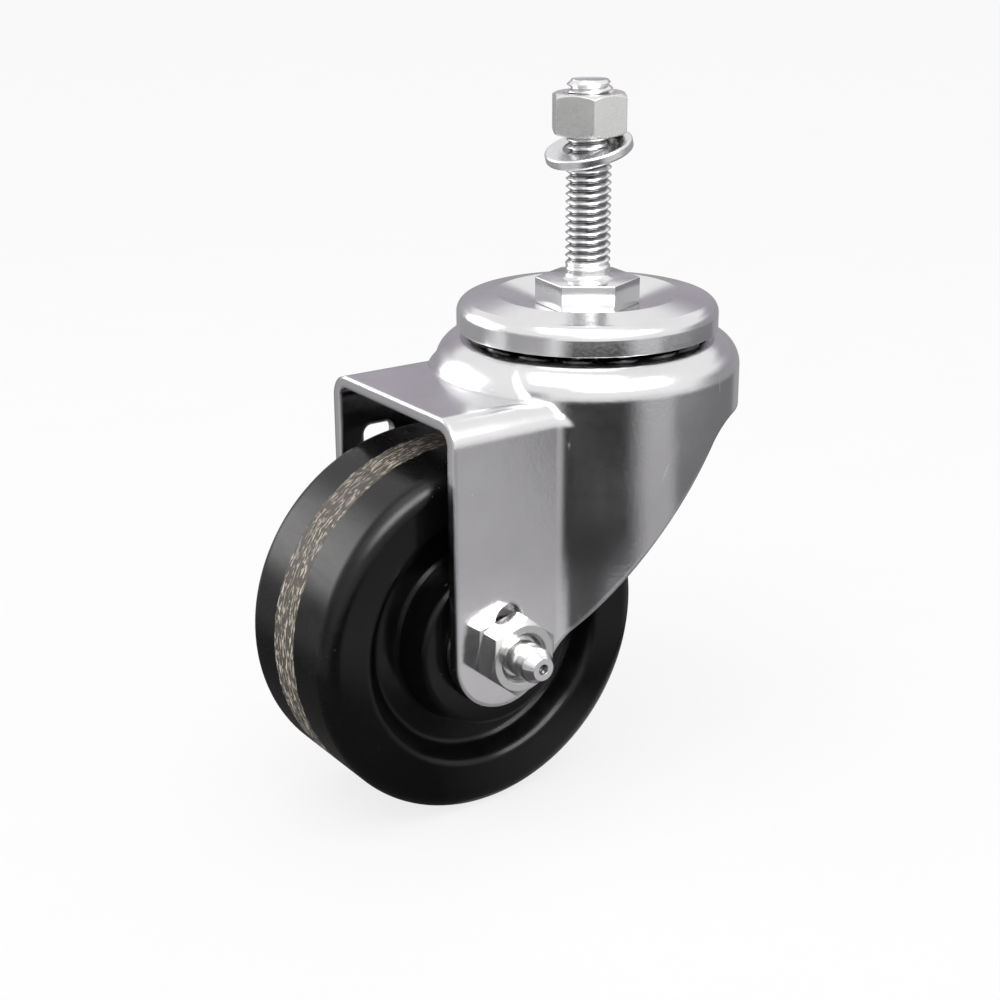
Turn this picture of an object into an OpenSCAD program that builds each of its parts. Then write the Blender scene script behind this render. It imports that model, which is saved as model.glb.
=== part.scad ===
// Threaded stem swivel castor: pressed steel fork, ball swivel head, moulded wheel on a roller bearing.
// Origin on the swivel axis at the stem's shoulder (top face of the hex), +Z up the stem.
// The wheel trails towards -X, its axle lies along Y, the nut and grease fitting are on the -Y side.

/* [Wheel] */
// Wheel diameter over the tread
wheel_d = 76.2; // [70:0.1:80]
// Width of the tread over its rounded edges
tread_w = 31.75; // [28:0.05:34]
// Radius of the rounded tread edges
tread_edge_r = 3.6; // [1.5:0.1:5]
// Radius at the lip of the side recesses
recess_lip_r = 27.7; // [25.5:0.1:30]
// Depth of the side recesses
recess_depth = 4.6; // [2:0.1:7]
// Radius of the hub boss at its end faces
hub_r = 17.6; // [15.8:0.1:19]

/* [Fork] */
// Thickness of the fork's sheet
sheet = 2.4; // [2:0.1:3]
// Width over the two legs
fork_w = 46; // [44:0.1:50]
// Distance from the swivel axis back to the axle
trail = 36.3; // [33:0.1:40]
// Height of the stem's shoulder above the axle
axle_drop = 67.2; // [64:0.1:74]
// Distance from the axle to the front edge of the legs
leg_front = 12.3; // [11:0.1:14]
// Radius of the rounded leg end
leg_end_r = 11.2; // [9.5:0.1:12.5]
// Slope of the skirt's lower edge, in degrees
skirt_slope = 49.8; // [44:0.1:55]
// Outside radius of the bend from the top plate into a leg
bend_r = 5.2; // [3.2:0.1:6]
// Radius of the crease between a leg and the round skirt
crease_r = 6; // [4:0.1:8]

/* [Swivel head] */
// Radius of the round crown and skirt
crown_r = 32.2; // [31.4:0.1:34]
// Radius of the crown's shoulder
crown_shoulder_r = 6.5; // [5.5:0.1:7]
// Radius of the crown's foot on the top plate
crown_foot_r = 33.6; // [33:0.1:35]
// Radius of the top cap's rim
cap_r = 27.5; // [26.5:0.1:28.2]
// Radius of the top cap's shoulder
cap_shoulder_r = 3; // [2:0.1:4.5]
// Thickness of the top cap's sheet
cap_t = 2.4; // [2:0.1:2.6]
// Diameter of the upper balls
ball_d = 7.94; // [7.2:0.01:8.2]
// Diameter of the lower balls
small_ball_d = 4.76; // [4:0.01:5]
// Number of upper balls
ball_count = 15; // [10:1:16]
// Number of lower balls
small_ball_count = 18; // [10:1:19]

/* [Stem] */
// Outside diameter of the stem's thread
stem_d = 9.44; // [8:0.01:10]
// Length of the stem above its shoulder
stem_len = 40.5; // [36:0.1:50]
// Size of the stem's hex across its flats
hex_af = 19.05; // [17:0.05:20.6]
// Height of the stem's hex
hex_h = 5.6; // [5:0.1:7]
// Turn of the hex about the swivel axis
hex_turn = 23.7; // [0:0.1:60]
// Height of the nut's underside above the shoulder
nut_lift = 29.5; // [24:0.1:31]

/* [Axle] */
// Diameter of the axle bolt
bolt_d = 9.4; // [8:0.05:10]
// Size of the axle nut and bolt head across their flats
axle_af = 14.29; // [13:0.05:16]
// Thickness of the axle nut
axle_nut_h = 5.6; // [5:0.1:8]
// Thickness of the thrust washers
thrust_t = 1.2; // [0.8:0.1:1.6]
// Diameter of the bearing rollers
roller_d = 4.5; // [4.2:0.05:4.7]
// Number of bearing rollers
roller_count = 9; // [6:1:9]

/* [Hidden] */
$fn = 96;
fit_gap = 0.02; // between fixed pieces that sit in each other
run_gap = 0.05; // between a shaft and what turns on it
ball_gap = 0.12; // between a ball and its raceway
side_play = 0.3; // between the hub and each thrust washer
cross = 0.01; // lets an arc cross its tangent lines instead of only touching them

// Swivel head, from the shoulder down
hex_under = -hex_h;
cap_floor_r = 11.7;
cap_ring_r = cap_r - 8.2;
cap_top = hex_under + 2.5;
cap_corner_r = 6.5; // of the raceway, taken at the cap's outside
cap_fall = 1.5; // of the cap's top from its ring out to the rim
ball_r = ball_d / 2;
race_r = ball_r + ball_gap;
race_pitch = cap_r - cap_corner_r;
race_z = cap_top - cap_corner_r;
cap_race_r = cap_corner_r - cap_t;
ball_z = race_z + cap_race_r - race_r;
cap_rim = race_z - 0.6;
rim_gap = 1.4;
crown_top = cap_rim - rim_gap;
groove_under_r = race_r + sheet;
crown_under = crown_top - sheet;
pin_r = 6.2;
cup_t = 2;
cup_hub_top = hex_under - cap_t;
cup_hub_under = cup_hub_top - cup_t;
peen_r = 8.4;
peen_h = 2.6;
small_ball_r = small_ball_d / 2;
small_race_r = small_ball_r + ball_gap;
small_ball_z = crown_under - small_race_r;
small_pitch = race_pitch - sqrt(pow(groove_under_r + small_race_r, 2) - pow(ball_z - small_ball_z, 2));
cup_neck_r = small_pitch - small_race_r;
cup_bottom = small_ball_z - small_race_r - cup_t;
cup_out_r = small_pitch + small_race_r + cup_t;
cup_rim = small_ball_z - 0.8;
crown_hole_r = cup_neck_r + 0.5;

// Fork, with the top plate a step below the crown
plate_top = crown_top - 6.3;
foot_in = crown_r - crown_shoulder_r;
foot_top = crown_top - 0.12;
foot_arc = (pow(crown_foot_r - foot_in, 2) + pow(foot_top - plate_top, 2)) / (2 * (foot_top - plate_top));
leg_half = fork_w / 2;
leg_inner = leg_half - sheet;
deep = axle_drop + 30;
front_reach = trail + leg_front;
leg_end_x = leg_end_r - front_reach;
leg_end_z = -axle_drop - 0.9;
skirt_bottom = plate_top - 8.4;
skirt_blend_r = 12;
slope_n = [sin(skirt_slope), -cos(skirt_slope)];
slope_t = [cos(skirt_slope), sin(skirt_slope)];
slope_foot = [leg_end_x, leg_end_z] + leg_end_r * slope_n;
slope_run = (skirt_bottom - slope_foot[1]) / slope_t[1];
slope_top = slope_foot + slope_run * slope_t;
crease_y = leg_half + crease_r - 2 * cross;
crease_x = -sqrt(pow(crown_r + crease_r - 2 * cross, 2) - crease_y * crease_y);
crease_a = atan2(crease_y, -crease_x);
axle_hole_r = bolt_d / 2 + 0.15;
upper_hole_r = 3.2;
upper_hole_lift = 6.5;
slot_w = 7.6;
slot_h = 8.4;
slot_r = 2;
slot_x = -trail - 3;
slot_top = plate_top - 12.2;

// Wheel and bearing
wheel_r = wheel_d / 2;
tread_half = tread_w / 2;
hub_half = leg_inner - thrust_t - side_play;
floor_u = tread_half - recess_depth;
recess_floor_r = recess_lip_r - 3.2;
hub_foot_r = hub_r + 1.3;
bush_r = bolt_d / 2 + fit_gap + 1.63;
roller_r = roller_d / 2;
roller_pitch = bush_r + roller_r + run_gap;
race_in_r = roller_pitch + roller_r + run_gap;
race_out_r = race_in_r + 1.2;
bore_r = race_out_r + fit_gap;
race_lip_t = 1;
race_lip_r = race_in_r - 1.6;
cage_half = hub_half - race_lip_t - side_play;
cage_t = 2.4;
roller_len = 2 * cage_half - 2;
thrust_r = race_in_r + 0.45;

// Axle, measured out from the wheel's middle
bolt_head_h = 6;
nut_out = leg_half + axle_nut_h;
bolt_end = nut_out - 1.6;
grease_r = 1.5;
shank_r = 2.4;
shank_len = 6;
fit_base_r = 3.7;
fit_base_end = nut_out + 1.6;
fit_neck_r = 3.15;
fit_head_r = 3.6;
fit_head_end = fit_base_end + 2.9;
fit_end = nut_out + 6.5;
fit_end_r = 2.35;
fit_mouth_r = 1.1;
fit_mouth_t = 1.4;
check_ball_r = 1.3;
check_ball_at = fit_end - fit_mouth_t - sqrt(pow(check_ball_r, 2) - pow(fit_mouth_r, 2)) - 0.05;
check_bore_r = 1.45;
spring_wire_r = 0.2;
spring_r = 1.1;
spring_turns = 4;

// Stem hardware
stem_r = stem_d / 2;
stem_fillet_r = 1.3;
nut_af = 14.29;
nut_h = 8.4;
nut_face = 0.97; // radius of a hex's flat end, as a share of half its size across flats
nut_turn = 0;
lock_t = 2.1;
lock_in_r = stem_r + 0.55;
lock_out_r = lock_in_r + 3.87;
lock_tilt = 12;
lock_lean = 10;
lock_turn = -34.35;
lock_lay = acos(cos(lock_tilt) * cos(lock_lean));
lock_edge = nut_af / 2 * nut_face * tan(lock_lay) + lock_t / 2 / cos(lock_lay);
lock_z = nut_lift - lock_edge - 0.08;

steel = [0.75, 0.76, 0.79];
black = [0.09, 0.09, 0.1];

function unit(v) = v / norm(v);

// The piece between a corner at p and an arc of radius r inside it, with edges leaving p along a and b:
// cut away it rounds an outer corner, added it fills an inner one.
module corner(p, a, b, r) {
  ua = unit(a);
  ub = unit(b);
  half = acos(ua * ub) / 2;
  reach = r / tan(half);
  inward = unit(ua + ub);
  difference() {
    polygon([p - 0.3 * inward, p + reach * ua, p + reach * ub]);
    translate(p + inward * r / sin(half)) circle(r = r + cross);
  }
}

// Turns a shape made along Z so that it lies along the axle, its top towards -Y.
module on_axle() {
  translate([-trail, 0, -axle_drop]) rotate([90, 0, 0]) children();
}

// A hex prism from z = 0 to h, with its corners turned off at one or both ends.
module hex_blank(af, h, top, bottom) {
  corner_r = af / sqrt(3);
  face_r = af / 2 * nut_face;
  drop = (corner_r - face_r) * tan(30);
  intersection() {
    cylinder(r = corner_r, h = h, $fn = 6);
    rotate_extrude() polygon([
      [0, 0],
      [bottom ? face_r : corner_r + 1, 0],
      [corner_r + (bottom ? 0 : 1), bottom ? drop : 0],
      [corner_r + (top ? 0 : 1), top ? h - drop : h],
      [top ? face_r : corner_r + 1, h],
      [0, h]
    ]);
  }
}

module hex_nut(af, h, hole_r) {
  difference() {
    hex_blank(af, h, true, true);
    translate([0, 0, -1]) cylinder(r = hole_r, h = h + 2);
    translate([0, 0, -0.1]) cylinder(r1 = hole_r + 0.75, r2 = hole_r - 0.1, h = 0.85);
    translate([0, 0, h - 0.75]) cylinder(r1 = hole_r - 0.1, r2 = hole_r + 0.75, h = 0.85);
  }
}

module threaded_stem() {
  color(steel) union() {
    rotate([0, 0, hex_turn]) translate([0, 0, hex_under])
      cylinder(r = hex_af / sqrt(3), h = hex_h, $fn = 6);
    rotate_extrude() union() {
      polygon([
        [0, cup_hub_under - peen_h],
        [peen_r - 1.8, cup_hub_under - peen_h],
        [peen_r, cup_hub_under - 1],
        [peen_r, cup_hub_under],
        [pin_r, cup_hub_under],
        [pin_r, hex_under / 2],
        [stem_r, hex_under / 2],
        [stem_r, stem_len - 0.9],
        [stem_r - 0.75, stem_len],
        [0, stem_len]
      ]);
      corner([stem_r, 0], [1, 0], [0, 1], stem_fillet_r);
    }
  }
}

module stem_nut() {
  color(steel) translate([0, 0, nut_lift]) rotate([0, 0, nut_turn])
    hex_nut(nut_af, nut_h, stem_r + fit_gap);
}

// A split spring washer that hangs askew under the nut, its slit at the back.
module lock_washer() {
  color(steel) translate([0, 0, lock_z]) rotate([lock_lean, -lock_tilt, lock_turn])
    difference() {
      rotate_extrude() difference() {
        translate([lock_in_r, -lock_t / 2]) square([lock_out_r - lock_in_r, lock_t]);
        corner([lock_out_r, lock_t / 2], [-1, 0], [0, -1], 0.5);
        corner([lock_out_r, -lock_t / 2], [-1, 0], [0, 1], 0.5);
      }
      translate([0, lock_in_r + 1.8, 0]) rotate([0, 25, 0]) cube([0.9, 6, 6], center = true);
    }
}

// The cap's outside in section: dished floor, a ring, a gentle fall and a round shoulder to the upright rim.
module cap_outside() {
  difference() {
    polygon([
      [0, cap_rim],
      [cap_r, cap_rim],
      [cap_r, cap_top - cap_fall],
      [cap_ring_r, cap_top],
      [cap_floor_r, hex_under],
      [0, hex_under]
    ]);
    corner([cap_r, cap_top - cap_fall], [cap_ring_r - cap_r, cap_fall], [0, -1], cap_shoulder_r);
  }
}

// The cap's inside in section, with the raceway of the upper balls.
module cap_inside() {
  difference() {
    polygon([
      [0, cap_rim - 1],
      [cap_r - cap_t, cap_rim - 1],
      [cap_r - cap_t, cap_top - cap_t],
      [cap_ring_r, cap_top - cap_t],
      [cap_floor_r + cap_t * 0.15, hex_under - cap_t],
      [0, hex_under - cap_t]
    ]);
    corner([cap_r - cap_t, cap_top - cap_t], [-1, 0], [0, -1], cap_race_r);
  }
}

module top_cap() {
  color(steel) difference() {
    rotate_extrude() difference() {
      cap_outside();
      cap_inside();
    }
    translate([0, 0, cap_rim - 1]) cylinder(r = pin_r + fit_gap, h = 20);
  }
}

module ball_ring(count, pitch, z, r) {
  for (i = [0 : count - 1])
    rotate([0, 0, (i + 0.5) * 360 / count]) translate([pitch, 0, z]) sphere(r = r);
}

module upper_balls() {
  color(steel) ball_ring(ball_count, race_pitch, ball_z, ball_r);
}

module lower_balls() {
  color(steel) ball_ring(small_ball_count, small_pitch, small_ball_z, small_ball_r);
}

// The dished cup that is riveted up against the cap and carries the lower balls.
module lower_cup() {
  color(steel) difference() {
    rotate_extrude() difference() {
      union() {
        translate([0, cup_bottom]) square([cup_neck_r, cup_hub_top - cup_bottom]);
        translate([cup_neck_r - 0.1, cup_bottom]) square([cup_out_r - cup_neck_r + 0.1, cup_rim - cup_bottom]);
      }
      corner([cup_neck_r, cup_hub_top], [-1, 0], [0, -1], 2);
      corner([cup_out_r, cup_bottom], [-1, 0], [0, 1], small_race_r + cup_t - 1);
      translate([small_pitch, small_ball_z]) circle(r = small_race_r);
      translate([small_pitch - small_race_r, small_ball_z]) square([2 * small_race_r, 9]);
      difference() {
        translate([-1, cup_bottom - 1]) square([cup_neck_r - cup_t + 1, cup_hub_under - cup_bottom + 1]);
        corner([cup_neck_r - cup_t, cup_hub_under], [-1, 0], [0, -1], 1);
      }
    }
    translate([0, 0, cup_bottom - 1]) cylinder(r = pin_r + fit_gap, h = 30);
  }
}

// Solid form of the fork, shrunk by the inset: crown, its wider foot on the arm, the arm, and the creases
// where the legs meet the skirt.
module fork_form(inset) {
  low = -deep - (inset > 0 ? 2 : 0);
  half = leg_half - inset;
  top = plate_top - inset;
  crease_top = top - 2 * cross;
  foot_half = leg_half - bend_r - 0.3;
  front = front_reach + (inset > 0 ? 5 : 0);
  rotate_extrude() difference() {
    translate([0, low]) square([crown_r - inset, crown_top - inset - low]);
    corner([crown_r - inset, crown_top - inset], [-1, 0], [0, -1], crown_shoulder_r - inset);
    translate([race_pitch, ball_z]) circle(r = race_r + inset);
  }
  intersection() {
    rotate_extrude() difference() {
      intersection() {
        translate([foot_in, foot_top - foot_arc]) circle(r = foot_arc - inset);
        translate([foot_in, top - 1]) square([20, 20]);
      }
      translate([race_pitch, ball_z]) circle(r = race_r + inset);
    }
    translate([-front, 0, 0]) rotate([90, 0, 90]) linear_extrude(front) polygon([
      [-foot_half, top - 2],
      [foot_half, top - 2],
      [foot_half, top],
      [foot_half - 8, top + 8],
      [8 - foot_half, top + 8],
      [-foot_half, top]
    ]);
  }
  translate([-front, 0, 0]) rotate([90, 0, 90]) linear_extrude(front) difference() {
    translate([-half, low]) square([2 * half, top - low]);
    corner([half, top], [-1, 0], [0, -1], bend_r - inset);
    corner([-half, top], [1, 0], [0, -1], bend_r - inset);
  }
  for (side = [0, 1]) mirror([0, side, 0])
    translate([crease_x, -crease_y, 0]) rotate([0, 0, crease_a])
      rotate_extrude(angle = 90 - crease_a) difference() {
        translate([crease_r + inset, low]) square([9 - inset, crease_top - low]);
        corner([crease_r + inset, crease_top], [1, 0], [0, -1], bend_r - inset);
      }
}

// Side view of the fork: upright front edge, round leg end, sloping skirt edge and level rear edge.
module fork_side() {
  union() {
    polygon([
      [-front_reach, 5],
      [-front_reach, leg_end_z],
      [leg_end_x, leg_end_z],
      slope_foot,
      slope_top,
      [crown_r + 5, skirt_bottom],
      [crown_r + 5, 5]
    ]);
    translate([leg_end_x, leg_end_z]) circle(r = leg_end_r);
    corner(slope_top, -slope_t, [1, 0], skirt_blend_r);
  }
}

// Round-cornered slot of the far leg, through +Y.
module far_slot() {
  translate([slot_x, fork_w, slot_top - slot_h / 2]) rotate([90, 0, 0]) linear_extrude(fork_w) difference() {
    square([slot_w, slot_h], center = true);
    for (sx = [-1, 1])
      for (sz = [-1, 1])
        corner([sx * slot_w / 2, sz * slot_h / 2], [-sx, 0], [0, -sz], slot_r);
  }
}

module fork() {
  color(steel) difference() {
    intersection() {
      difference() {
        union() fork_form(0);
        union() fork_form(sheet);
      }
      rotate([90, 0, 0]) linear_extrude(fork_w + 40, center = true) fork_side();
    }
    translate([0, 0, crown_under - 9]) cylinder(r = crown_hole_r, h = 20);
    on_axle() cylinder(r = axle_hole_r, h = fork_w + 10, center = true);
    translate([-trail, 0, upper_hole_lift - axle_drop]) rotate([90, 0, 0])
      cylinder(r = upper_hole_r, h = fork_w + 10, center = true);
    far_slot();
  }
}

// One side of the wheel in section, from the middle out: a blank less the recess between lip and hub boss.
module wheel_half() {
  slope = [recess_lip_r - recess_floor_r, recess_depth];
  boss = [hub_r - hub_foot_r, hub_half - floor_u];
  difference() {
    polygon([
      [bore_r, -1],
      [wheel_r, -1],
      [wheel_r, tread_half],
      [hub_foot_r + 2, tread_half],
      [hub_foot_r + 2, hub_half],
      [bore_r, hub_half]
    ]);
    difference() {
      polygon([
        [hub_foot_r, floor_u],
        [recess_floor_r, floor_u],
        [recess_floor_r, floor_u] + 4 * slope,
        [hub_foot_r, floor_u] + 1.5 * boss
      ]);
      corner([recess_floor_r, floor_u], [-1, 0], slope, 1.5);
      corner([hub_foot_r, floor_u], [1, 0], boss, 1);
    }
    corner([wheel_r, tread_half], [-1, 0], [0, -1], tread_edge_r);
    corner([recess_lip_r, tread_half], [1, 0], -slope, 1.6);
    corner([hub_r, hub_half], [-1, 0], -boss, 0.9);
    corner([bore_r, hub_half], [1, 0], [0, -1], 0.6);
  }
}

module wheel() {
  color(black) on_axle() rotate_extrude() union() {
    wheel_half();
    mirror([0, 1]) wheel_half();
  }
}

// Drawn cup in the wheel's bore, its lips turned in over the ends of the rollers.
module bearing_race() {
  color(steel) on_axle() difference() {
    cylinder(r = race_out_r, h = 2 * hub_half, center = true);
    cylinder(r = race_in_r, h = 2 * (hub_half - race_lip_t), center = true);
    cylinder(r = race_lip_r, h = fork_w, center = true);
  }
}

// Tubular cage with one window for each roller.
module roller_cage() {
  window = roller_d + 0.3;
  color(steel) on_axle() difference() {
    cylinder(r = roller_pitch + cage_t / 2, h = 2 * cage_half, center = true);
    cylinder(r = roller_pitch - cage_t / 2, h = fork_w, center = true);
    for (i = [0 : roller_count - 1])
      rotate([0, 0, i * 360 / roller_count]) translate([roller_pitch, 0, 0])
        cube([2 * cage_t, window, roller_len + 0.4], center = true);
  }
}

module rollers() {
  color(steel) on_axle() for (i = [0 : roller_count - 1])
    rotate([0, 0, i * 360 / roller_count]) translate([roller_pitch, 0, 0])
      cylinder(r = roller_r, h = roller_len, center = true);
}

// Spacer tube that the legs clamp, with a hole at mid-length that lets the grease out to the rollers.
module spanner_bushing() {
  color(steel) on_axle() difference() {
    cylinder(r = bush_r, h = 2 * leg_inner, center = true);
    cylinder(r = bolt_d / 2 + fit_gap, h = fork_w, center = true);
    rotate([0, 90, 0]) cylinder(r = grease_r, h = 20);
  }
}

module thrust_washer() {
  difference() {
    cylinder(r = thrust_r, h = thrust_t);
    translate([0, 0, -1]) cylinder(r = bush_r + 0.1, h = thrust_t + 2);
  }
}

module thrust_washer_near() {
  color(steel) on_axle() translate([0, 0, leg_inner - thrust_t]) thrust_washer();
}

module thrust_washer_far() {
  color(steel) on_axle() translate([0, 0, -leg_inner]) thrust_washer();
}

// Hollow bolt: hex head on the far leg, grease drilled in from its end and out at mid-length.
module axle_bolt() {
  color(steel) on_axle() difference() {
    union() {
      cylinder(r = bolt_d / 2, h = bolt_end - 0.6);
      translate([0, 0, bolt_end - 0.6]) cylinder(r1 = bolt_d / 2, r2 = bolt_d / 2 - 0.5, h = 0.6);
      translate([0, 0, -leg_half]) cylinder(r = bolt_d / 2, h = leg_half);
      translate([0, 0, -leg_half - bolt_head_h]) rotate([0, 0, 10]) hex_blank(axle_af, bolt_head_h, false, true);
    }
    translate([0, 0, -2]) cylinder(r = grease_r, h = bolt_end + 3);
    translate([0, 0, bolt_end - shank_len - 0.3]) cylinder(r = shank_r + fit_gap, h = shank_len + 2);
    rotate([0, 90, 0]) cylinder(r = grease_r - 0.2, h = 20);
  }
}

module axle_nut() {
  color(steel) on_axle() translate([0, 0, leg_half]) rotate([0, 0, 20])
    hex_nut(axle_af, axle_nut_h, bolt_d / 2 + fit_gap);
}

// Drive-in fitting in the bolt's end: shank, round base, neck and a button head with the mouth.
module grease_fitting() {
  color(steel) on_axle() difference() {
    rotate_extrude() difference() {
      polygon([
        [0, bolt_end - shank_len],
        [shank_r, bolt_end - shank_len],
        [shank_r, bolt_end],
        [fit_base_r, bolt_end],
        [fit_base_r, fit_base_end - 0.4],
        [fit_base_r - 0.4, fit_base_end],
        [fit_neck_r, fit_base_end],
        [fit_neck_r, fit_base_end + 0.6],
        [fit_head_r - 0.3, fit_base_end + 0.6],
        [fit_head_r, fit_base_end + 0.9],
        [fit_head_r, fit_head_end],
        [fit_end_r, fit_end],
        [0, fit_end]
      ]);
      corner([fit_head_r, fit_head_end], [0, -1], [fit_end_r - fit_head_r, fit_end - fit_head_end], 2);
    }
    translate([0, 0, bolt_end - shank_len - 1])
      cylinder(r = check_bore_r, h = fit_end - bolt_end + shank_len + 1 - fit_mouth_t);
    translate([0, 0, fit_end - 2 * fit_mouth_t]) cylinder(r = fit_mouth_r, h = 4 * fit_mouth_t);
  }
}

module grease_check_ball() {
  color(steel) on_axle() translate([0, 0, check_ball_at]) sphere(r = check_ball_r);
}

// Spring behind the check ball: a wire swept along a helix.
module grease_check_spring() {
  steps = spring_turns * 10;
  sides = 4;
  start = bolt_end - 3.2;
  rise = check_ball_at - check_ball_r * 0.62 - 2 * spring_wire_r - start;
  ring = function (k) let (turn = k * 36)
    [for (j = [0 : sides - 1]) let (r = spring_r + spring_wire_r * cos(j * 90))
      [r * cos(turn), r * sin(turn), start + rise * k / steps + spring_wire_r * sin(j * 90)]];
  points = [for (k = [0 : steps]) each ring(k)];
  walls = [for (k = [0 : steps - 1], j = [0 : sides - 1])
    [k * sides + j, k * sides + (j + 1) % sides, (k + 1) * sides + (j + 1) % sides, (k + 1) * sides + j]];
  first = [[for (j = [0 : sides - 1]) sides - 1 - j]];
  last = [[for (j = [0 : sides - 1]) steps * sides + j]];
  color(steel) on_axle() polyhedron(points, concat(walls, first, last), convexity = 6);
}

threaded_stem();
stem_nut();
lock_washer();
top_cap();
upper_balls();
lower_balls();
lower_cup();
fork();
wheel();
bearing_race();
roller_cage();
rollers();
spanner_bushing();
thrust_washer_near();
thrust_washer_far();
axle_bolt();
axle_nut();
grease_fitting();
grease_check_ball();
grease_check_spring();
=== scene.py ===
"""Looks of a threaded stem swivel castor: finishes, the stem's rolled thread and the studio around it."""

import math

import bmesh
import bpy
from bpy.props import FloatProperty, FloatVectorProperty, PointerProperty
from mathutils import Matrix, Vector


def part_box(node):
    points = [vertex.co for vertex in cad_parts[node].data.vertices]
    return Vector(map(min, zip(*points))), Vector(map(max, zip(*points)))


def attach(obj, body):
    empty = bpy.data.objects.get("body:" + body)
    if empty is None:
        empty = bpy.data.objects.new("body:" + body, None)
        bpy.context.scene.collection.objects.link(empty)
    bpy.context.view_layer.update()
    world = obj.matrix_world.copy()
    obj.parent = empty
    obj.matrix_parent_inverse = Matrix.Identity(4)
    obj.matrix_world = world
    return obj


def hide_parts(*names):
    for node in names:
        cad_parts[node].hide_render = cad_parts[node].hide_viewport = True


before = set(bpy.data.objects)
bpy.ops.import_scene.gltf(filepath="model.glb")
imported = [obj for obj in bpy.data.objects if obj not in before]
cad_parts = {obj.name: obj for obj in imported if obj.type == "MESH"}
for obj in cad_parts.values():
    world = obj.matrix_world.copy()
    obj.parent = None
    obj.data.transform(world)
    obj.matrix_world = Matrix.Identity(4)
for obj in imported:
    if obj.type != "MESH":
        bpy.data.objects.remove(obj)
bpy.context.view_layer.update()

bl_info = {
    "name": "Threaded Stem Castor",
    "version": (1, 0, 0),
    "blender": (4, 5, 0),
    "location": "View3D > Sidebar > Castor",
    "description": "Finishes the castor's pieces and sets up its studio",
    "category": "Object",
}

MM = 0.001
STEM_LOW, STEM_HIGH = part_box("threaded_stem")
WHEEL_LOW, WHEEL_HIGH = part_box("wheel")
FLOOR_Z = WHEEL_LOW.z
AXLE = (WHEEL_LOW + WHEEL_HIGH) / 2
AXLE.y = 0
WHEEL_R = (WHEEL_HIGH.z - WHEEL_LOW.z) / 2


def size(name, description, millimetres):
    """A length that the user can change, given in millimetres."""
    return FloatProperty(name=name, description=description, default=millimetres * MM, min=0,
                         unit="LENGTH", precision=5)


def colour(name, description, red, green, blue):
    """A finish's colour that the user can change."""
    return FloatVectorProperty(name=name, description=description, default=(red, green, blue),
                               subtype="COLOR", min=0, max=1)


class CastorSizes(bpy.types.PropertyGroup):
    """Sizes of the details that are modelled here."""

    thread_r: size("Thread radius", "Outside radius of the stem's thread", 4.72)
    thread_pitch: size("Thread pitch", "Rise of the stem's thread in one turn", 1.5875)
    thread_depth: size("Thread depth", "Depth of the thread's grooves", 0.94)
    run_out: size("Run-out", "Height over which the thread fades into the shank", 3.0)
    shank: size("Shank", "Plain length between the shoulder and the thread", 1.6)
    end_chamfer: size("End chamfer", "Chamfer on the stem's end", 0.95)
    fillet: size("Fillet", "Radius between the shank and the hex", 1.3)
    hex_flats: size("Hex", "Hex across its flats", 19.05)
    hex_edge: size("Hex edge", "Rounding of the hex's edges", 0.22)
    band_low: size("Band start", "Where the fibre band starts, from the far side", 4.7)
    band_high: size("Band end", "Where the fibre band ends, from the near side", 3.2)


class CastorColours(bpy.types.PropertyGroup):
    """Colours of the finishes."""

    plate: colour("Zinc plate", "Bright zinc on the pressed pieces", 0.79, 0.785, 0.795)
    fastener: colour("Fastener zinc", "Duller zinc on nuts and washers", 0.74, 0.74, 0.725)
    # Dark with grease on the swivel balls, and used as painted shade on the grease fitting's check ball and
    # spring
    greased_and_shaded: colour("Greased steel", "Balls of the swivel head, dark with grease", 0.16, 0.155, 0.15)
    polished: colour("Polished steel", "Balls, rollers and races", 0.70, 0.70, 0.71)
    moulding: colour("Moulding", "Black of the wheel", 0.0030, 0.0030, 0.0031)
    fibre: colour("Fibre", "Pale flecks in the wheel's band", 0.72, 0.65, 0.54)
    filler: colour("Filler", "Dark ground of the wheel's band", 0.088, 0.077, 0.064)
    floor: colour("Floor", "Pale floor and background", 0.94, 0.94, 0.94)


class CastorStudio(bpy.types.PropertyGroup):
    """Camera and lamp settings."""

    yaw: FloatProperty(name="Yaw", description="Camera's turn about the swivel axis",
                       default=math.radians(-34.35), subtype="ANGLE")
    pitch: FloatProperty(name="Pitch", description="Camera's height above the horizon",
                         default=math.radians(19.52), subtype="ANGLE")
    roll: FloatProperty(name="Roll", description="Camera's turn about its own line of sight",
                        default=math.radians(-0.3), subtype="ANGLE")
    distance: size("Distance", "Camera's distance from the point it looks at", 380.4)
    aim: FloatVectorProperty(name="Aim", description="Point at the middle of the picture",
                             default=(-24.08 * MM, -2.41 * MM, -43.92 * MM), subtype="XYZ", unit="LENGTH")
    lens: FloatProperty(name="Lens", description="Focal length on a 36 mm sensor, in millimetres", default=65.57)
    fill: FloatProperty(name="Fill", description="Strength of the light from all round", default=0.75)
    key: FloatProperty(name="Key", description="Power of the large lamp overhead, in watts", default=3.0)


def props():
    """The scene's castor settings."""
    scene = bpy.context.scene
    return scene.castor_sizes, scene.castor_colours, scene.castor_studio


# Materials

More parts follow.
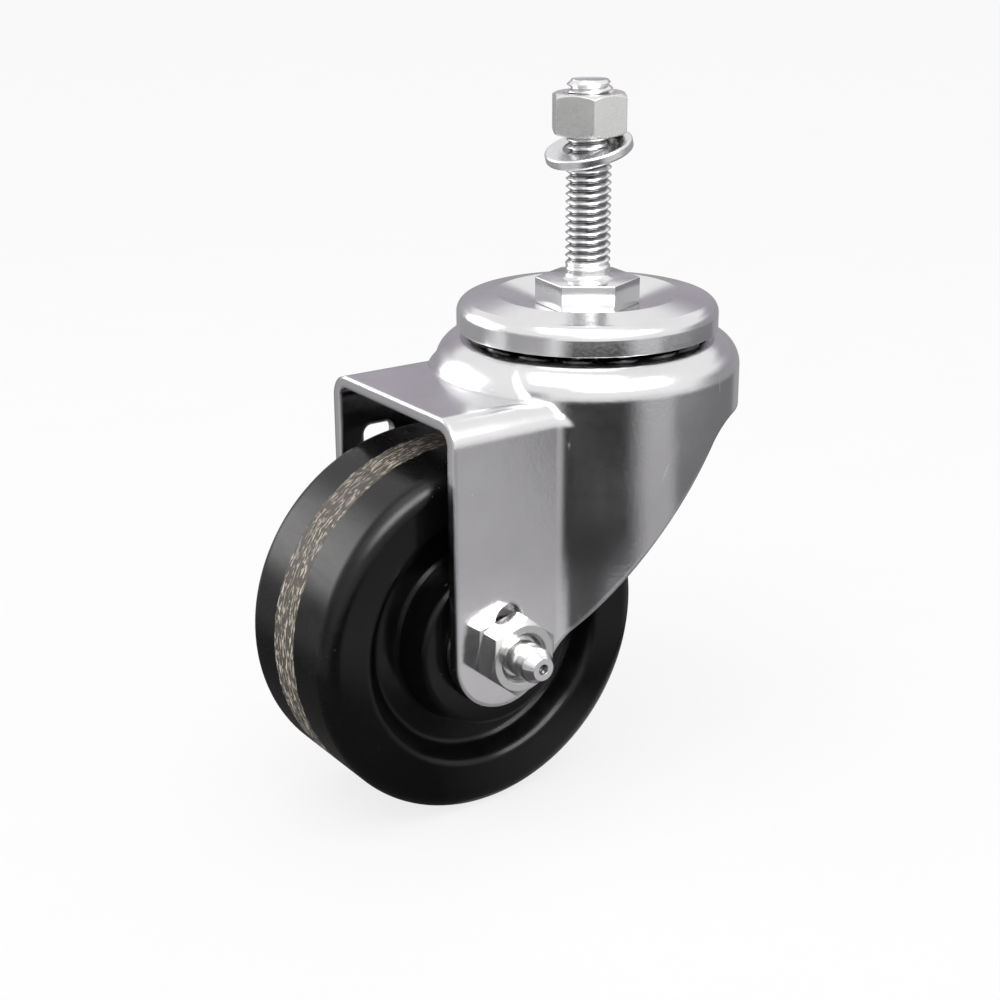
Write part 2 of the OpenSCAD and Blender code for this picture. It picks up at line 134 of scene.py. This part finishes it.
class Nodes:
    """A short way to add nodes to a material's tree."""

    def __init__(self, name):
        self.material = bpy.data.materials.new(name)
        self.material.use_nodes = True
        self.tree = self.material.node_tree
        self.shader = self.tree.nodes["Principled BSDF"]
        self.place = self.add("ShaderNodeTexCoord").outputs["Object"]

    def add(self, kind, inputs=None, **settings):
        """A new node with its settings and its inputs, which are values or other nodes' outputs."""
        node = self.tree.nodes.new(kind)
        for key, value in settings.items():
            setattr(node, key, value)
        for key, value in (inputs or {}).items():
            if isinstance(value, bpy.types.NodeSocket):
                self.tree.links.new(value, node.inputs[key])
            else:
                node.inputs[key].default_value = value
        return node

    def link(self, output, socket):
        self.tree.links.new(output, self.shader.inputs[socket])

    def noise(self, scale, detail=2.0, distortion=0.0, vector=None):
        """Noise of about one over scale metres."""
        node = self.add("ShaderNodeTexNoise", {"Vector": vector or self.place, "Scale": scale,
                                               "Detail": detail, "Distortion": distortion})
        return node.outputs["Fac"]

    def math(self, operation, a, b=0.0):
        return self.add("ShaderNodeMath", {0: a, 1: b}, operation=operation).outputs[0]

    def ramp(self, value, low, high, out_low=0.0, out_high=1.0, smooth=False):
        """value between low and high, spread over out_low to out_high."""
        node = self.add("ShaderNodeMapRange", {"Value": value, "From Min": low, "From Max": high,
                                               "To Min": out_low, "To Max": out_high})
        node.interpolation_type = "SMOOTHSTEP" if smooth else "LINEAR"
        return node.outputs["Result"]

    def mix(self, factor, a, b):
        """A colour between a and b."""
        node = self.add("ShaderNodeMix", data_type="RGBA")
        for socket, value in ((0, factor), (6, a), (7, b)):
            if isinstance(value, bpy.types.NodeSocket):
                self.tree.links.new(value, node.inputs[socket])
            else:
                node.inputs[socket].default_value = value
        return node.outputs[2]

    def stretched(self, x, y, z, turn=(0.0, 0.0, 0.0)):
        """Object coordinates scaled along their axes."""
        return self.add("ShaderNodeMapping", {"Vector": self.place, "Scale": (x, y, z),
                                              "Rotation": turn}).outputs["Vector"]

    def relief(self, height, distance, strength=1.0, edge=0.0):
        """Bump from a height, over edges that are softened by a small radius."""
        inputs = {"Height": height, "Distance": distance, "Strength": strength}
        if edge:
            inputs["Normal"] = self.add("ShaderNodeBevel", {"Radius": edge}, samples=4).outputs["Normal"]
        self.link(self.add("ShaderNodeBump", inputs).outputs["Normal"], "Normal")


def rgba(colour_value, factor=1.0):
    return tuple(min(1.0, c * factor) for c in colour_value) + (1.0,)


def zinc_plate(name, base, rough_low, rough_high, grain, edge=0.25):
    """Plated sheet: cloudy gloss, fine grain, a few handling scratches and pale specks."""
    n = Nodes(name)
    clouds = n.noise(55, 3.0)
    grit = n.noise(1500, 2.0)
    scratch_line = n.noise(420, 1.0, 0.3, n.stretched(1.0, 0.05, 0.30, (0.4, 0.3, 0.6)))
    scratches = n.ramp(scratch_line, 0.755, 0.79)
    specks = n.ramp(n.noise(900, 1.0), 0.77, 0.80)
    tone = n.mix(n.ramp(clouds, 0.3, 0.7), rgba(base, 0.93), rgba(base, 1.03))
    n.link(n.mix(n.math("MAXIMUM", n.math("MULTIPLY", scratches, 0.12), n.math("MULTIPLY", specks, 0.4)),
                 tone, rgba(base, 1.15)), "Base Color")
    rough = n.ramp(n.math("ADD", n.math("MULTIPLY", clouds, 0.7), n.math("MULTIPLY", grit, 0.3)),
                   0.35, 0.65, rough_low, rough_high)
    n.link(n.math("ADD", rough, n.math("MULTIPLY", scratches, 0.12)), "Roughness")
    peel = n.math("ADD", n.math("MULTIPLY", n.noise(320, 2.0), 0.9), n.math("MULTIPLY", n.noise(110, 2.0), 3.2))
    height = n.math("SUBTRACT", n.math("ADD", grit, peel), n.math("MULTIPLY", scratches, 0.5))
    n.relief(height, grain * MM, 1.0, edge * MM)
    n.shader.inputs["Metallic"].default_value = 1.0
    return n.material


def turned_zinc(name, base, rough_low, rough_high, axis, edge=0.2, groove=None):
    """Plated bar stock: fine turning lines round an axis on top of the plate's grain. A thread's groove, given
    by its root and crest radius about the Z axis, gets painted shade towards its root, and the hex below it gets
    painted shade that darkens its colour."""
    n = Nodes(name)
    stretch = {"Z": (0.15, 0.15, 3.0), "Y": (0.15, 3.0, 0.15)}[axis]
    lines = n.noise(900, 2.0, 0.0, n.stretched(*stretch))
    clouds = n.noise(140, 3.0)
    tone = n.mix(n.ramp(clouds, 0.3, 0.7), rgba(base, 0.93), rgba(base, 1.05))
    if groove:
        split = n.add("ShaderNodeSeparateXYZ", {"Vector": n.place})
        x, y, z = (split.outputs[key] for key in "XYZ")
        radius = n.math("SQRT", n.math("ADD", n.math("MULTIPLY", x, x), n.math("MULTIPLY", y, y)))
        root, crest = groove
        foot_low, foot_high = 0.5 * MM, 2.0 * MM
        end_low, end_high = STEM_HIGH.z - 2.5 * MM, STEM_HIGH.z - 1.5 * MM
        hex_low, hex_high = -0.3 * MM, -0.05 * MM
        # Painted shade: the thread's colour darkens towards the root of its groove, fading out near the foot and
        # the end
        root_shade = n.ramp(radius, root, crest, 0.8, 0.0, True)
        root_shade = n.math("MULTIPLY", root_shade, n.ramp(z, foot_low, foot_high))
        root_shade = n.math("MULTIPLY", root_shade, n.ramp(z, end_high, end_low))
        tone = n.mix(root_shade, tone, rgba(base, 0.12))
        # Painted shade: the hex below the thread is given a darker colour than the rest of the stem
        tone = n.mix(n.ramp(z, hex_low, hex_high, 1.0, 0.0), tone, rgba(base, 0.62))
    n.link(tone, "Base Color")
    n.link(n.ramp(n.math("ADD", n.math("MULTIPLY", lines, 0.5), n.math("MULTIPLY", clouds, 0.5)),
                  0.35, 0.65, rough_low, rough_high), "Roughness")
    n.relief(n.math("ADD", lines, n.noise(1300, 2.0)), 0.006 * MM, 1.0, edge * MM)
    n.shader.inputs["Metallic"].default_value = 1.0
    return n.material


def polished_steel(name, base):
    """Ground and polished steel with a thin film of grease."""
    n = Nodes(name)
    film = n.noise(260, 2.0)
    n.link(n.mix(n.ramp(film, 0.4, 0.7), rgba(base), rgba(base, 0.8)), "Base Color")
    n.link(n.ramp(film, 0.35, 0.7, 0.06, 0.16), "Roughness")
    n.shader.inputs["Metallic"].default_value = 1.0
    return n.material


def wheel_moulding(name, sizes, colours):
    """Black moulding with a pressed-in layer of pale fibre that shows as a band round the tread."""
    n = Nodes(name)
    split = n.add("ShaderNodeSeparateXYZ", {"Vector": n.place})
    x = n.math("SUBTRACT", split.outputs["X"], AXLE.x)
    z = n.math("SUBTRACT", split.outputs["Z"], AXLE.z)
    y = split.outputs["Y"]
    radius = n.math("SQRT", n.math("ADD", n.math("MULTIPLY", x, x), n.math("MULTIPLY", z, z)))
    round_way = n.math("MULTIPLY", n.math("ARCTAN2", z, x), WHEEL_R)
    unrolled = n.add("ShaderNodeCombineXYZ", {"X": round_way, "Y": y, "Z": 0.0}).outputs["Vector"]
    ragged_width, blur = 1.5 * MM, 0.12 * MM
    ragged = n.math("MULTIPLY", n.math("SUBTRACT", n.noise(420, 3.0, 0.0, unrolled), 0.5), ragged_width)
    edge = n.math("ADD", y, ragged)
    inside = n.math("MULTIPLY", n.ramp(edge, -sizes.band_high - blur, -sizes.band_high + blur),
                    n.ramp(edge, sizes.band_low + blur, sizes.band_low - blur))
    band = n.math("MULTIPLY", inside, n.ramp(radius, WHEEL_R - 1.2 * MM, WHEEL_R - 0.8 * MM))
    strands = []
    lies = ((0.15, 0.60), (0.75, 0.63), (-0.5, 0.62), (1.5, 0.65))  # turn of the strands, and how few there are
    for turn, cut in lies:
        lie = n.add("ShaderNodeMapping", {"Vector": unrolled, "Rotation": (0, 0, turn),
                                          "Scale": (0.22, 1.0, 1.0)}).outputs["Vector"]
        strands.append(n.ramp(n.noise(1900, 1.0, 0.6, lie), cut, cut + 0.07))
    fibres = strands[0]
    for strand in strands[1:]:
        fibres = n.math("MAXIMUM", fibres, strand)
    dirt = n.ramp(n.noise(170, 3.0), 0.35, 0.7, 0.5, 1.0)
    flecks = n.math("MULTIPLY", fibres, dirt)
    felt = n.mix(flecks, rgba(colours.filler), rgba(colours.fibre))
    dust = n.math("MULTIPLY", n.ramp(n.noise(800, 1.0), 0.79, 0.82), 0.10)
    haze = n.ramp(n.noise(45, 3.0), 0.4, 0.8, 0.0, 0.004)
    black = n.mix(n.math("ADD", dust, haze), rgba(colours.moulding), (0.5, 0.48, 0.45, 1.0))
    n.link(n.mix(band, black, felt), "Base Color")
    on_tread = n.ramp(radius, WHEEL_R - 3.0 * MM, WHEEL_R - 1.0 * MM)
    smears = n.noise(300, 3.0, 0.5, n.stretched(1.0, 0.3, 1.0))
    gloss = n.ramp(smears, 0.3, 0.7, 0.13, 0.21)
    rough = n.math("ADD", gloss, n.math("ADD", n.math("MULTIPLY", on_tread, 0.10),
                                       n.math("MULTIPLY", band, 0.30)))
    n.link(rough, "Roughness")
    height = n.math("ADD", n.math("MULTIPLY", n.noise(900, 2.0), 0.25),
                    n.math("MULTIPLY", n.math("MULTIPLY", flecks, band), 2.0))
    soft_edge = 1.2 * MM
    n.relief(height, 0.02 * MM, 1.0, soft_edge)
    n.shader.inputs["IOR"].default_value = 1.36
    return n.material


# Building and finishing pieces

def finish_node(name, material):
    """Gives a CAD node one material."""
    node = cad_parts[name]
    node.data.materials.clear()
    node.data.materials.append(material)


def add_piece(name, bm, material, body, replaced=()):
    """Makes a finished bmesh an object that rides on a body and may stand for CAD nodes."""
    bmesh.ops.remove_doubles(bm, verts=bm.verts, dist=0.002 * MM)
    bmesh.ops.recalc_face_normals(bm, faces=bm.faces)
    for face in bm.faces:
        face.smooth = True
    for edge in bm.edges:
        edge.smooth = not (edge.is_manifold and edge.calc_face_angle(0) > math.radians(38))
    mesh = bpy.data.meshes.new(name)
    bm.to_mesh(mesh)
    bm.free()
    mesh.materials.append(material)
    piece = bpy.data.objects.new(name, mesh)
    bpy.context.scene.collection.objects.link(piece)
    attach(piece, body)
    if replaced:
        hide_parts(*replaced)
    return piece


def smooth_step(t):
    t = max(0.0, min(1.0, t))
    return t * t * (3 - 2 * t)


def spin_profile(bm, points, steps=96):
    """Turns a line of (radius, height) points about the Z axis, closed where it meets the axis."""
    verts = [bm.verts.new((r, 0, z)) for r, z in points]
    edges = [bm.edges.new(pair) for pair in zip(verts, verts[1:])]
    bmesh.ops.spin(bm, geom=verts + edges, cent=(0, 0, 0), axis=(0, 0, 1), angle=2 * math.pi,
                   steps=steps, use_merge=True)


def thread_section(sizes):
    """One pitch of a rolled thread as (radius, height) points, from root to root: straight flanks, narrow
    rounded crest and root."""
    half = [(0.0, 0.0), (0.05, 0.02), (0.09, 0.09), (0.26, 0.52), (0.42, 0.92), (0.455, 0.985), (0.5, 1.0)]
    shape = half + [(1 - t, crest) for t, crest in reversed(half[:-1])]
    return [(sizes.thread_r - sizes.thread_depth * (1 - crest), t * sizes.thread_pitch) for t, crest in shape]


def add_thread(bm, sizes, top, steps=56):
    """A rolled thread up to the stem's end, which fades out towards the shank and has a chamfered end."""
    section = thread_section(sizes)
    start = sizes.shank - sizes.thread_pitch
    turns = math.ceil((top - start) / sizes.thread_pitch) + 1
    verts = [bm.verts.new((r, 0, start + z)) for r, z in section]
    edges = [bm.edges.new(pair) for pair in zip(verts, verts[1:])]
    bmesh.ops.spin(bm, geom=verts + edges, cent=(0, 0, 0), axis=(0, 0, 1),
                   dvec=(0, 0, sizes.thread_pitch / steps), angle=2 * math.pi * turns,
                   steps=steps * turns, use_merge=False)
    bmesh.ops.remove_doubles(bm, verts=bm.verts, dist=0.002 * MM)
    for plane_z, outer in ((sizes.shank, False), (top, True)):
        bmesh.ops.bisect_plane(bm, geom=bm.verts[:] + bm.edges[:] + bm.faces[:], dist=1e-7,
                               plane_co=(0, 0, plane_z), plane_no=(0, 0, 1),
                               clear_outer=outer, clear_inner=not outer)
    for vert in bm.verts:
        radius = vert.co.xy.length
        faded = smooth_step((vert.co.z - sizes.shank) / sizes.run_out)
        wanted = sizes.thread_r - (sizes.thread_r - radius) * faded
        wanted = min(wanted, sizes.thread_r - sizes.end_chamfer + (top - vert.co.z) * 0.9)
        vert.co.xy *= wanted / radius


def rim(bm, z):
    """Open edges that lie at a height."""
    return [e for e in bm.edges if e.is_boundary and all(abs(v.co.z - z) < 1e-6 for v in e.verts)]


def close_end(bm, z, inset, drop):
    """Closes an open end with a face, and sets its middle back a little."""
    face = bmesh.ops.contextual_create(bm, geom=rim(bm, z))["faces"][0]
    bmesh.ops.inset_region(bm, faces=[face], thickness=inset, depth=0, use_even_offset=True)
    bmesh.ops.translate(bm, verts=face.verts, vec=(0, 0, drop))


def flare_foot(bm, sizes, steps=6):
    """Carries the shank down through its fillet into the hex."""
    loop = rim(bm, sizes.shank)
    path = []
    for i in range(steps + 1):
        turn = math.pi / 2 * i / steps
        path.append((sizes.thread_r + sizes.fillet * (1 - math.cos(turn)),
                     sizes.fillet * (1 - math.sin(turn))))
    path.append((path[-1][0], -1.0 * MM))
    for radius, z in path:
        made = bmesh.ops.extrude_edge_only(bm, edges=loop)["geom"]
        loop = [g for g in made if isinstance(g, bmesh.types.BMEdge)]
        for vert in {v for e in loop for v in e.verts}:
            vert.co = Vector((*(vert.co.xy.normalized() * radius), z))
    bmesh.ops.contextual_create(bm, geom=loop)


def add_hex(bm, flats, low, high, turn, edge):
    """A hex prism with softened edges."""
    made = bmesh.ops.create_cone(bm, cap_ends=True, segments=6, radius1=flats / math.sqrt(3),
                                 radius2=flats / math.sqrt(3), depth=high - low,
                                 matrix=Matrix.Translation((0, 0, (low + high) / 2))
                                 @ Matrix.Rotation(turn, 4, "Z"))
    edges = {e for v in made["verts"] for e in v.link_edges}
    bmesh.ops.bevel(bm, geom=list(edges), offset=edge, offset_type="OFFSET", segments=3, profile=0.5,
                    affect="EDGES", material=-1)


class CASTOR_OT_threaded_stem(bpy.types.Operator):
    """Models the stem with its rolled thread, hex and riveted king pin"""

    bl_idname = "castor.threaded_stem"
    bl_label = "Threaded Stem"

    def execute(self, context):
        sizes, colours, _ = props()
        hex_low = -5.6 * MM
        pin_r = 6.2 * MM
        rivet_r = 8.4 * MM
        rivet_top = -10.0 * MM
        hex_turn = math.radians(23.7 - 90)
        bm = bmesh.new()
        add_thread(bm, sizes, STEM_HIGH.z)
        close_end(bm, STEM_HIGH.z, 0.5 * MM, -0.12 * MM)
        flare_foot(bm, sizes)
        add_hex(bm, sizes.hex_flats, hex_low, 0.0, hex_turn, sizes.hex_edge)
        spin_profile(bm, [(0, hex_low + 1 * MM), (pin_r, hex_low + 1 * MM), (pin_r, rivet_top),
                          (rivet_r, rivet_top), (rivet_r, rivet_top - 1.0 * MM),
                          (rivet_r - 0.7 * MM, rivet_top - 2.1 * MM),
                          (rivet_r - 1.8 * MM, STEM_LOW.z), (0, STEM_LOW.z)])
        material = turned_zinc("stem_zinc", colours.plate, 0.16, 0.28, "Z", 0.06,
                               (sizes.thread_r - sizes.thread_depth, sizes.thread_r - 0.25 * MM))
        add_piece("stem_with_thread", bm, material, "stem", ["threaded_stem"])
        return {"FINISHED"}


class CASTOR_OT_stem_fasteners(bpy.types.Operator):
    """Finishes the nut and the split washer on the stem"""

    bl_idname = "castor.stem_fasteners"
    bl_label = "Stem Nut and Washer"

    def execute(self, context):
        colours = props()[1]
        finish_node("stem_nut", zinc_plate("nut_zinc", colours.fastener, 0.22, 0.36, 0.012, 0.3))
        finish_node("lock_washer", zinc_plate("washer_zinc", colours.plate, 0.24, 0.36, 0.010, 0.3))
        return {"FINISHED"}


class CASTOR_OT_swivel_head(bpy.types.Operator):
    """Finishes the pressed cap and cup and the two rows of balls"""

    bl_idname = "castor.swivel_head"
    bl_label = "Swivel Head"

    def execute(self, context):
        colours = props()[1]
        cap = zinc_plate("cap_zinc", colours.plate, 0.12, 0.22, 0.008, 0.25)
        for name in ("top_cap", "lower_cup"):
            finish_node(name, cap)
        balls = polished_steel("ball_steel", colours.greased_and_shaded)
        for name in ("upper_balls", "lower_balls"):
            finish_node(name, balls)
        return {"FINISHED"}


class CASTOR_OT_fork(bpy.types.Operator):
    """Finishes the pressed fork"""

    bl_idname = "castor.fork"
    bl_label = "Fork"

    def execute(self, context):
        colours = props()[1]
        finish_node("fork", zinc_plate("fork_zinc", colours.plate, 0.13, 0.20, 0.012, 1.1))
        return {"FINISHED"}


class CASTOR_OT_wheel(bpy.types.Operator):
    """Finishes the moulded wheel with its fibre band"""

    bl_idname = "castor.wheel"
    bl_label = "Wheel"

    def execute(self, context):
        sizes, colours, _ = props()
        finish_node("wheel", wheel_moulding("wheel_moulding", sizes, colours))
        return {"FINISHED"}


class CASTOR_OT_bearing(bpy.types.Operator):
    """Finishes the roller bearing inside the hub"""

    bl_idname = "castor.bearing"
    bl_label = "Roller Bearing"

    def execute(self, context):
        colours = props()[1]
        ground = polished_steel("bearing_steel", colours.polished)
        for name in ("bearing_race", "rollers", "spanner_bushing"):
            finish_node(name, ground)
        finish_node("roller_cage", zinc_plate("cage_zinc", colours.fastener, 0.2, 0.34, 0.008, 0.1))
        return {"FINISHED"}


class CASTOR_OT_axle(bpy.types.Operator):
    """Finishes the axle bolt, its nut, the washers and the grease fitting"""

    bl_idname = "castor.axle"
    bl_label = "Axle and Grease Fitting"

    def execute(self, context):
        colours = props()[1]
        nut = zinc_plate("axle_nut_zinc", colours.fastener, 0.22, 0.34, 0.012, 0.3)
        for name in ("axle_nut", "axle_bolt"):
            finish_node(name, nut)
        washer = turned_zinc("thrust_washer_zinc", colours.plate, 0.2, 0.3, "Y", 0.1)
        for name in ("thrust_washer_near", "thrust_washer_far"):
            finish_node(name, washer)
        finish_node("grease_fitting", turned_zinc("fitting_zinc", colours.plate, 0.16, 0.28, "Y", 0.12))
        # Painted shade: the check ball and spring take the dark steel so that the fitting's hole looks dark
        check = polished_steel("check_valve_shaded_steel", colours.greased_and_shaded)
        for name in ("grease_check_ball", "grease_check_spring"):
            finish_node(name, check)
        return {"FINISHED"}


# Studio

def studio_world(fill, shade):
    """White where the camera, metal and glass look past the castor, and an even fill light elsewhere."""
    world = bpy.data.worlds.new("studio")
    bpy.context.scene.world = world
    world.use_nodes = True
    tree = world.node_tree
    background = tree.nodes["Background"]
    path = tree.nodes.new("ShaderNodeLightPath")
    seen = path.outputs["Is Camera Ray"]
    for name in ("Is Glossy Ray", "Is Transmission Ray"):
        either = tree.nodes.new("ShaderNodeMath")
        either.operation = "MAXIMUM"
        tree.links.new(seen, either.inputs[0])
        tree.links.new(path.outputs[name], either.inputs[1])
        seen = either.outputs[0]
    strength = tree.nodes.new("ShaderNodeMapRange")
    strength.inputs["To Min"].default_value = fill
    strength.inputs["To Max"].default_value = 1.0
    tree.links.new(seen, strength.inputs["Value"])
    tree.links.new(strength.outputs["Result"], background.inputs["Strength"])
    background.inputs["Color"].default_value = (*shade, 1.0)


def studio_floor(shade):
    """A pale floor that glows a little to the camera and still takes the castor's shadow."""
    bm = bmesh.new()
    below_wheel = 0.2 * MM
    bmesh.ops.create_circle(bm, cap_ends=True, segments=96, radius=6.0,
                            matrix=Matrix.Translation((0, 0, FLOOR_Z - below_wheel)))
    mesh = bpy.data.meshes.new("studio_floor")
    bm.to_mesh(mesh)
    bm.free()
    floor = bpy.data.objects.new("studio_floor", mesh)
    bpy.context.scene.collection.objects.link(floor)
    n = Nodes("floor_paper")
    n.link(n.mix(n.ramp(n.noise(40, 2.0), 0.3, 0.7), rgba(shade, 0.99), rgba(shade, 1.01)), "Base Color")
    n.shader.inputs["Roughness"].default_value = 0.9
    n.shader.inputs["Specular IOR Level"].default_value = 0.1
    path = n.add("ShaderNodeLightPath")
    glow = n.add("ShaderNodeEmission", {"Color": (1, 1, 1, 1), "Strength": 1.0})
    glow_share = 0.80
    share = n.math("MULTIPLY", path.outputs["Is Camera Ray"], glow_share)
    blend = n.add("ShaderNodeMixShader", {0: share, 1: n.shader.outputs[0], 2: glow.outputs[0]})
    n.tree.links.new(blend.outputs[0], n.tree.nodes["Material Output"].inputs["Surface"])
    mesh.materials.append(n.material)


def reflection_card(name, path, start, end, shade, strength, soft=0.25, steps=24):
    """A card that only shows in reflections: a line of (distance, height) swept round the swivel axis.
    Angles are from the camera, positive to its right, and its borders fade out."""
    studio = props()[2]
    bm = bmesh.new()
    cover = bm.verts.layers.float.new("cover")
    front = studio.yaw - math.pi / 2
    rows = []
    for i in range(steps + 1):
        across = i / steps
        a = front + start + (end - start) * across
        row = []
        for j, (distance, z) in enumerate(path):
            vert = bm.verts.new((distance * math.cos(a), distance * math.sin(a), z))
            side = min(across, 1 - across) / soft
            up = min(j, len(path) - 1 - j)
            vert[cover] = smooth_step(side) * (1.0 if up else 0.0)
            row.append(vert)
        rows.append(row)
    for left, right in zip(rows, rows[1:]):
        for j in range(len(path) - 1):
            bm.faces.new((left[j], right[j], right[j + 1], left[j + 1]))
    mesh = bpy.data.meshes.new(name)
    bm.to_mesh(mesh)
    bm.free()
    card = bpy.data.objects.new(name, mesh)
    bpy.context.scene.collection.objects.link(card)
    n = Nodes(name)
    clear = n.add("ShaderNodeBsdfTransparent")
    tint = n.add("ShaderNodeEmission", {"Color": (*shade, 1.0), "Strength": strength})
    attribute = n.add("ShaderNodeAttribute", attribute_name="cover")
    blend = n.add("ShaderNodeMixShader", {0: attribute.outputs["Fac"], 1: clear.outputs[0],
                                          2: tint.outputs[0]})
    n.tree.links.new(blend.outputs[0], n.tree.nodes["Material Output"].inputs["Surface"])
    mesh.materials.append(n.material)
    card.visible_camera = False
    card.visible_diffuse = False
    card.visible_shadow = False
    card.visible_transmission = False


def floor_card(name, layer, radii, start, end, shade, soft, raised=()):
    """A grey card that lies just over the floor, on one of several layers, between angles in degrees."""
    z = FLOOR_Z + (1 + layer) * MM
    path = [(radius, z) for radius in radii] + list(raised)
    reflection_card(name, path, math.radians(start), math.radians(end), (shade, shade * 0.985, shade * 1.01),
                    1.0, soft, 48)


def soft_lamp(name, place, target, width, height, power):
    """A large rectangular lamp aimed at a point."""
    lamp = bpy.data.lights.new(name, "AREA")
    lamp.shape = "RECTANGLE"
    lamp.size = width
    lamp.size_y = height
    lamp.energy = power
    lamp_object = bpy.data.objects.new(name, lamp)
    bpy.context.scene.collection.objects.link(lamp_object)
    lamp_object.location = place
    lamp_object.rotation_mode = "QUATERNION"
    lamp_object.rotation_quaternion = (Vector(target) - Vector(place)).to_track_quat("-Z", "Y")


def studio_camera(studio):
    """The camera at the photograph's angle."""
    camera = bpy.data.cameras.new("camera")
    camera.lens = studio.lens
    camera.sensor_width = 36.0
    camera.clip_start = 0.01
    camera.clip_end = 50.0
    camera_object = bpy.data.objects.new("camera", camera)
    bpy.context.scene.collection.objects.link(camera_object)
    level = math.cos(studio.pitch)
    back = Vector((math.sin(studio.yaw) * level, -math.cos(studio.yaw) * level, math.sin(studio.pitch)))
    camera_object.location = Vector(studio.aim) + back * studio.distance
    camera_object.rotation_mode = "QUATERNION"
    turn = (-back).to_track_quat("-Z", "Y").to_matrix() @ Matrix.Rotation(studio.roll, 3, "Z")
    camera_object.rotation_quaternion = turn.to_quaternion()
    bpy.context.scene.camera = camera_object


class CASTOR_OT_stage(bpy.types.Operator):
    """Sets up the camera, the pale floor, the lamps and the cards that the metal reflects"""

    bl_idname = "castor.stage"
    bl_label = "Studio"

    def execute(self, context):
        _, colours, studio = props()
        context.scene.view_settings.view_transform = "Standard"
        studio_camera(studio)
        studio_world(studio.fill, (1.0, 1.0, 1.0))
        studio_floor(colours.floor)
        soft_lamp("key_lamp", (-0.35, -0.25, 0.75), (-0.02, 0, -0.05), 0.7, 0.7, studio.key)
        # Greys on the floor: the darker front and far right give the skirt its depth, the paler near and right
        # cards light the leg
        floor_card("surround_card", 0, (0.14, 0.20, 0.90, 1.00), -285, -75, 0.36, 0.15,
                   [(1.00, 0.12), (1.00, 0.30)])
        floor_card("left_card", 0, (0.22, 0.30, 1.30, 1.50), -84, -26, 0.40, 0.25,
                   [(1.55, 0.10), (1.55, 0.40)])
        floor_card("table_card", 1, (0.02, 0.05, 0.15, 0.24), -180, 180, 0.09, 0.05)
        floor_card("right_card", 2, (0.05, 0.075, 0.34, 0.48), 8, 135, 0.43, 0.13)
        floor_card("front_card", 3, (0.12, 0.16, 0.45, 0.54), -34, 43, 0.028, 0.27)
        floor_card("near_card", 4, (0.045, 0.065, 0.10, 0.15), 2, 56, 0.58, 0.3)
        floor_card("far_right_card", 5, (0.13, 0.17, 0.34, 0.48), 57, 140, 0.19, 0.12)
        # Upright cards: a grey behind for the top plate, and bright ones for the crown, the cap and the tread
        deg = math.radians
        reflection_card("back_card", [(0.9, -0.02), (0.9, 0.12), (0.9, 0.36), (0.88, 0.46)],
                        deg(110), deg(235), (0.40, 0.375, 0.42), 1.0)
        reflection_card("window_card", [(0.76, 0.34), (0.72, 0.42), (0.60, 0.60), (0.52, 0.68)],
                        deg(-12), deg(68), (1.0, 1.0, 1.0), 15.0, 0.2)
        reflection_card("side_card", [(0.80, -0.03), (0.80, 0.06), (0.78, 0.30), (0.66, 0.50)],
                        deg(-135), deg(-82), (1.0, 1.0, 1.0), 4.5, 0.3)
        reflection_card("high_card", [(0.60, 0.56), (0.52, 0.66), (0.40, 0.80), (0.30, 0.86)],
                        deg(-85), deg(50), (1.0, 1.0, 1.0), 1.4, 0.45)
        return {"FINISHED"}


class CASTOR_PT_panel(bpy.types.Panel):
    """Lists the castor's settings and steps"""

    bl_idname = "CASTOR_PT_panel"
    bl_label = "Castor"
    bl_space_type = "VIEW_3D"
    bl_region_type = "UI"
    bl_category = "Castor"

    def draw(self, context):
        for group in props():
            column = self.layout.column()
            for key in group.bl_rna.properties.keys():
                if key not in {"rna_type", "name"}:
                    column.prop(group, key)
        for step in STEPS:
            self.layout.operator(step.bl_idname)


GROUPS = {"castor_sizes": CastorSizes, "castor_colours": CastorColours, "castor_studio": CastorStudio}
STEPS = (CASTOR_OT_stage, CASTOR_OT_threaded_stem, CASTOR_OT_stem_fasteners, CASTOR_OT_swivel_head,
         CASTOR_OT_fork, CASTOR_OT_wheel, CASTOR_OT_bearing, CASTOR_OT_axle)


def register():
    for cls in (*GROUPS.values(), *STEPS, CASTOR_PT_panel):
        bpy.utils.register_class(cls)
    for key, group in GROUPS.items():
        setattr(bpy.types.Scene, key, PointerProperty(type=group))


def unregister():
    for key in GROUPS:
        delattr(bpy.types.Scene, key)
    for cls in (CASTOR_PT_panel, *STEPS, *GROUPS.values()):
        bpy.utils.unregister_class(cls)


def main():
    register()
    bpy.ops.castor.stage()
    bpy.ops.castor.threaded_stem()
    bpy.ops.castor.stem_fasteners()
    bpy.ops.castor.swivel_head()
    bpy.ops.castor.fork()
    bpy.ops.castor.wheel()
    bpy.ops.castor.bearing()
    bpy.ops.castor.axle()


if __name__ == "__main__":
    main()
